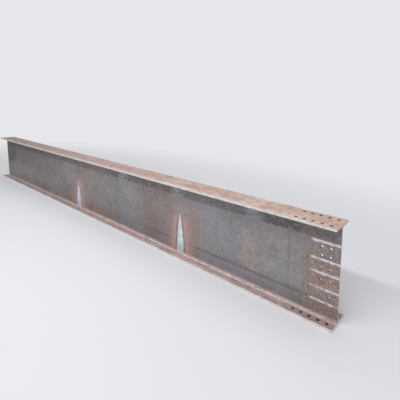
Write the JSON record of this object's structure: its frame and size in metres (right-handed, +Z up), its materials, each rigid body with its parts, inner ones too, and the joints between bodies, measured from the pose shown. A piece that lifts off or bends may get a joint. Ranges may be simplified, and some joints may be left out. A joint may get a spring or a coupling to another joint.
{
  "type": "welded h-beam",
  "caption": "Welded steel H-beam: an upright web plate between wide flange plates, joined by fillet welds and drilled at one end for a bolted splice.",
  "frame": {"origin": "underside of the bottom flange, below the middle of the beam", "axes": "+X along the beam towards the drilled end, +Y across the flanges, +Z up"},
  "size_m": [6.8, 0.25, 0.8],
  "materials": {
    "web_steel": "dark mill scale with rust bloom and pale heat marks",
    "flange_steel": "dry pinkish rust over mill scale",
    "weld_metal": "rippled bead, lightly rusted"
  },
  "bodies": {
    "root": {"web_plate": "web_steel", "top_flange": "flange_steel", "bottom_flange": "flange_steel", "weld_top_front": "weld_metal", "weld_top_back": "weld_metal", "weld_bottom_front": "weld_metal", "weld_bottom_back": "weld_metal"}
  },
  "joints": []
}
